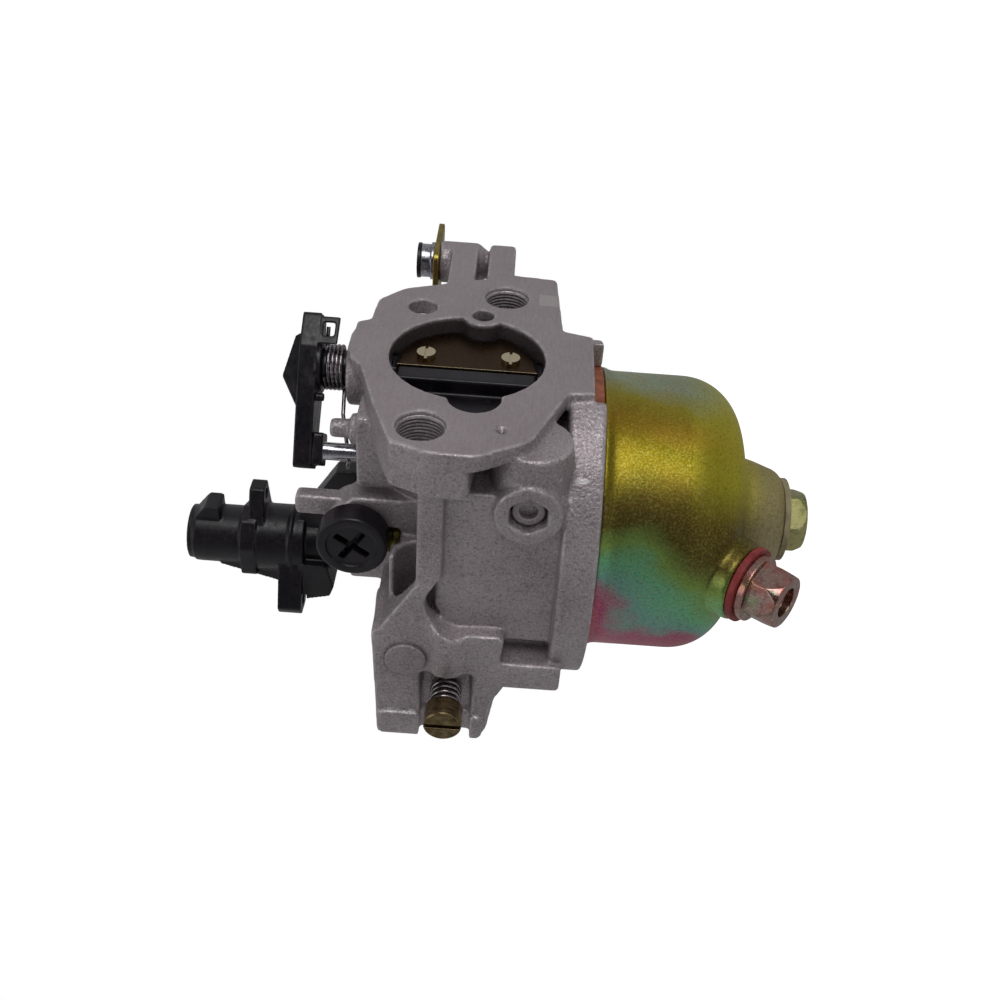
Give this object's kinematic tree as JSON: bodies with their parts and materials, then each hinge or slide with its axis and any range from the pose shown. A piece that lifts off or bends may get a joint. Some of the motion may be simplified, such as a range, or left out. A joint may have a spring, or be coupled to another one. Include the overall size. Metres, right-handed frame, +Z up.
{
  "type": "float bowl carburetor",
  "caption": "Small-engine float-bowl carburetor: cast throat with choke and throttle butterflies on lever shafts, steel bowl bolted beneath, and two-stud flanges at each end.",
  "frame": {"origin": "centre of the throat bore at the engine-side flange face", "axes": "+Y out of the engine face along the throat, -Y towards the air inlet, +Z up (bowl below, lever shafts rise along +Z), +X to the fuel inlet side"},
  "size_m": [0.0876, 0.0648, 0.112],
  "materials": {
    "cast_body": "sand-textured die casting with machined faces",
    "cast_plug": "cast",
    "bowl_zinc": "yellow iridescent zinc plating over pressed steel",
    "bolt_zinc": "pale yellow zinc plating",
    "drain_zinc": "pink-gold zinc plating",
    "gold_zinc": "gold zinc plating",
    "screw_zinc": "gold zinc plating",
    "screw_steel": "bright",
    "pin_steel": "bright",
    "spring_steel": "drawn wire",
    "brass": "turned",
    "dark_brass": "tarnished, turned",
    "black_plastic": "moulded, slight sheen",
    "float_plastic": "moulded",
    "gasket_rubber": "matte",
    "needle_rubber": "matte",
    "washer_fibre": "pressed fibre",
    "washer_red": "pressed fibre"
  },
  "bodies": {
    "casting": {"body_casting": "cast_body", "float_bowl": "bowl_zinc", "bowl_gasket": "gasket_rubber", "bowl_bolt": "bolt_zinc", "bowl_bolt_washer": "washer_fibre", "drain_plug": "drain_zinc", "drain_washer": "washer_red", "float_hinge_pin": "pin_steel", "needle_seat": "brass", "main_nozzle": "brass", "main_jet": "brass", "pilot_jet": "brass", "choke_spring": "spring_steel", "spring_anchor_pin": "pin_steel", "throttle_seal": "gasket_rubber", "mixture_spring": "spring_steel", "bracket_plate": "gold_zinc", "bracket_washer": "pin_steel", "bracket_screw": "screw_steel", "bracket_cap": "black_plastic", "hex_plug": "cast_plug", "round_plug": "cast_plug", "fuel_inlet": "brass"},
    "choke": {"choke_lever": "black_plastic", "choke_plate": "gold_zinc", "choke_screw_upper": "screw_zinc", "choke_screw_lower": "screw_zinc"},
    "throttle": {"throttle_shaft": "pin_steel", "throttle_plate": "brass", "throttle_lever": "black_plastic", "throttle_screw_upper": "screw_zinc", "throttle_screw_lower": "screw_zinc"},
    "stop_screw": {"throttle_stop_screw": "black_plastic"},
    "mix_screw": {"mixture_screw": "dark_brass"},
    "float": {"float": "float_plastic"},
    "needle": {"float_needle": "needle_rubber"}
  },
  "joints": [
    {"name": "choke_turn", "type": "hinge", "parent": "casting", "child": "choke", "pos_m": [0.0025, -0.0565, 0], "axis": [0, 0, -1], "range_deg": [0, 72]},
    {"name": "throttle_turn", "type": "hinge", "parent": "casting", "child": "throttle", "pos_m": [0, -0.0198, 0], "axis": [0, 0, 1], "range_deg": [0, 72]},
    {"name": "stop_screw_turn", "type": "hinge", "parent": "casting", "child": "stop_screw", "pos_m": [-0.014, -0.0355, 0.0171], "axis": [1, 0, 0], "continuous": true},
    {"name": "mix_screw_turn", "type": "hinge", "parent": "casting", "child": "mix_screw", "pos_m": [-0.02, -0.0099, 0], "axis": [1, 0, 0], "continuous": true},
    {"name": "float_swing", "type": "hinge", "parent": "casting", "child": "float", "pos_m": [0, -0.0145, -0.027], "axis": [1, 0, 0], "range_deg": [0, 5]},
    {"name": "needle_drop", "type": "slide", "parent": "casting", "child": "needle", "axis": [0, 0, -1], "range_m": [0, 0.0005]}
  ],
  "couplings": [
    {"joint": "needle_drop", "follows": "float_swing", "m_per_rad": 0.005}
  ]
}
